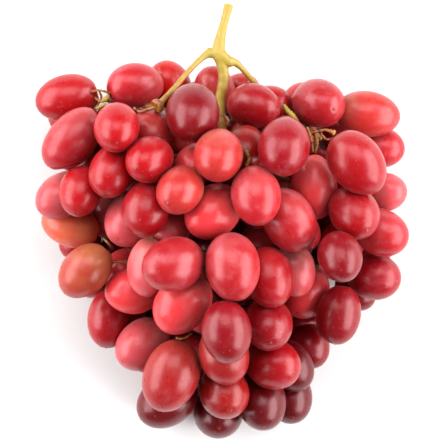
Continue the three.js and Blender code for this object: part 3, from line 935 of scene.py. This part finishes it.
def skin_material():
    """Grape skin: body colour, blush to the stem end, waxy bloom, fine specks and the tip's scar."""
    m = Nodes("grape_skin")
    local = m.attribute("local", "Vector")
    mottle = m.noise(local, MOTTLE_SCALE, 2.0)
    fine = m.noise(local, FINE_SCALE, 4.0)
    along = m.attribute("along")
    blush = m.ramp(m.math("ADD", along, m.ramp(mottle, 0.3, 0.7, -0.5, 0.5)), 0.5, -1.1)
    colour = m.mix(blush, m.attribute("skin", "Color"), m.attribute("blush", "Color"))
    specks = m.ramp(m.dots(local, SPECK_SCALE), *SPECK_SIZE, 1.0, 0.0)
    colour = m.mix(m.math("MULTIPLY", specks, SPECK_STRENGTH), colour, SPECK_COLOUR)
    streaks = m.noise(m.stretched(local, (1.0, 1.0, 0.3)), STREAK_SCALE, 4.0)
    clouds = m.math("ADD", m.noise(local, CLOUD_SCALE, 5.0), m.math("MULTIPLY", streaks, 0.5))
    cover = m.ramp(clouds, *HAZE_CLOUDS, 0.0, HAZE_STRENGTH)
    haze = m.math("MULTIPLY", m.attribute("bloom"), cover)
    colour = m.mix(haze, colour, BLOOM_COLOUR)
    pole = m.attribute("pole")
    ring = m.math("MULTIPLY", m.ramp(pole, *RING_INNER_EDGE), m.ramp(pole, *RING_OUTER_EDGE))
    colour = m.mix(m.math("MULTIPLY", ring, RING_STRENGTH), colour, SCAR_RING_COLOUR)
    colour = m.mix(m.ramp(pole, *SCAR_EDGE), colour, SCAR_COLOUR)
    m.link(colour, m.shader.inputs["Base Color"])
    rough = m.ramp(m.math("ADD", fine, haze), 0.3, 1.0, *SKIN_ROUGHNESS)
    m.link(rough, m.shader.inputs["Roughness"])
    m.bump(m.noise(local, BUMP_SCALE, 3.0), 0.25, 0.00012)
    m.settle(SKIN_GLOSS)
    return m.material


def place_node(m):
    return m.tree.nodes.new("ShaderNodeTexCoord").outputs["Object"]


# Colours of the stem, linear RGB: young, aged, browned and its greenish patches
STEM_FRESH = (0.30, 0.215, 0.026, 1)
STEM_AGED = (0.33, 0.082, 0.022, 1)
STEM_DARK = (0.065, 0.015, 0.008, 1)
STEM_GREEN = (0.22, 0.20, 0.030, 1)

# Noise on the stem, in cells per metre
AGE_SCALE = 150
GREEN_SCALE = 60
GRAIN_SCALE = 600
BARK_SCALE = 900

STEM_ROUGHNESS = (0.42, 0.62)
STEM_GLOSS = {
    "Subsurface Weight": 0.2,
    "Subsurface Radius": (0.8, 0.7, 0.2),
    "Subsurface Scale": 0.0015,
}


def stem_material():
    """Stem: yellow-green, turning orange along its edges and brown away from the fork."""
    m = Nodes("stem_skin")
    place = place_node(m)
    patches = m.noise(place, AGE_SCALE, 4.0)
    age = m.math("ADD", m.attribute("age"), m.ramp(patches, 0.3, 0.7, -0.25, 0.25))
    side = m.math("MULTIPLY", m.ramp(m.attribute("edge"), 0.45, 0.95), m.ramp(age, 0.0, 0.35))
    colour = m.mix(m.ramp(age, 0.25, 1.0, 0.0, 0.85), STEM_FRESH, STEM_AGED)
    colour = m.mix(m.math("MULTIPLY", side, 0.8), colour, STEM_AGED)
    green = m.ramp(m.noise(place, GREEN_SCALE, 2.0), 0.5, 0.75, 0.0, 0.35)
    green = m.math("MULTIPLY", green, m.ramp(age, 0.8, 0.2))
    colour = m.mix(green, colour, STEM_GREEN)
    streaks = m.noise(place, GRAIN_SCALE, 3.0)
    browned = m.math("MULTIPLY", m.ramp(streaks, 0.42, 0.62), m.ramp(age, 0.45, 1.1))
    colour = m.mix(browned, colour, STEM_DARK)
    m.link(colour, m.shader.inputs["Base Color"])
    m.link(m.ramp(streaks, 0.3, 0.7, *STEM_ROUGHNESS), m.shader.inputs["Roughness"])
    m.bump(m.noise(place, BARK_SCALE, 3.0), 0.3, 0.00015)
    m.settle(STEM_GLOSS)
    return m.material


# The studio: lens and sensor in mm, and the rest in metres and watts
LENS = 1000
SENSOR = 36
VIEW_HEIGHT = 0.05
AIM_HEIGHT = 0.04
FLOOR_HALF = 6
FLOOR_TONES = (0.61, 0.63)
WORLD_STRENGTH = 0.26
SOFT_BOXES = (
    ("left_box", (-0.95, 0.22, 0.52), (1.7, 0.85), 36),
    ("right_box", (0.95, -0.05, 0.56), (1.8, 0.9), 45),
    ("top_box", (0.0, 0.85, 1.35), (1.3, 0.9), 19),
)


def make_camera():
    """Looks straight down, with the photograph's own frame at the bunch's middle height."""
    data = bpy.data.cameras.new("camera")
    data.lens, data.sensor_width = LENS, SENSOR
    distance = PHOTO_SIZE * MM * METRES * LENS / SENSOR
    camera = bpy.data.objects.new("camera", data)
    x, y = across(PHOTO_SIZE / 2) * METRES, up(PHOTO_SIZE / 2) * METRES
    camera.location = (x, y, VIEW_HEIGHT + distance)
    data.clip_end = 4 * distance
    bpy.context.scene.collection.objects.link(camera)
    bpy.context.scene.camera = camera


def soft_light(name, place, size, power):
    data = bpy.data.lights.new(name, "AREA")
    data.shape = "RECTANGLE"
    data.size, data.size_y = size
    data.energy = power
    light = bpy.data.objects.new(name, data)
    light.location = place
    aim = Vector((0, 0, AIM_HEIGHT)) - Vector(place)
    light.rotation_euler = aim.to_track_quat("-Z", "Y").to_euler()
    light.visible_camera = False
    bpy.context.scene.collection.objects.link(light)


def make_floor():
    """A plain pale table, with a faint grain."""
    floor_mesh = bpy.data.meshes.new("floor")
    half = FLOOR_HALF
    corners = [(-half, -half, 0), (half, -half, 0), (half, half, 0), (-half, half, 0)]
    floor_mesh.from_pydata(corners, [], [(0, 1, 2, 3)])
    m = Nodes("floor")
    darker, lighter = ((tone, tone, tone, 1) for tone in FLOOR_TONES)
    m.link(m.mix(m.noise(place_node(m), 3.0), darker, lighter), m.shader.inputs["Base Color"])
    m.settle({"Roughness": 0.9, "Specular IOR Level": 0.0})
    floor_mesh.materials.append(m.material)
    floor = bpy.data.objects.new("floor", floor_mesh)
    bpy.context.scene.collection.objects.link(floor)


def make_lights():
    """Large soft boxes at the left, the right and the stem end, and a dim white world."""
    for box in SOFT_BOXES:
        soft_light(*box)
    world = bpy.data.worlds.new("world")
    world.use_nodes = True
    world.node_tree.nodes["Background"].inputs["Color"].default_value = (1, 1, 1, 1)
    world.node_tree.nodes["Background"].inputs["Strength"].default_value = WORLD_STRENGTH
    bpy.context.scene.world = world
    bpy.context.scene.view_settings.view_transform = "Standard"


make_camera()
make_floor()
make_lights()
skin = skin_material()
rng = np.random.default_rng(3)
berry_piece("berries_front", berries[:seen_count], skin, rng)
berry_piece("berries_back", berries[seen_count:outer_count], skin, rng)
berry_piece("berries_inner", berries[outer_count:], skin, rng)
limbs = stem_curves()
stem_skin = stem_material()
stem_piece(limbs, stem_skin)
twig_piece(limbs, stem_skin, rng)
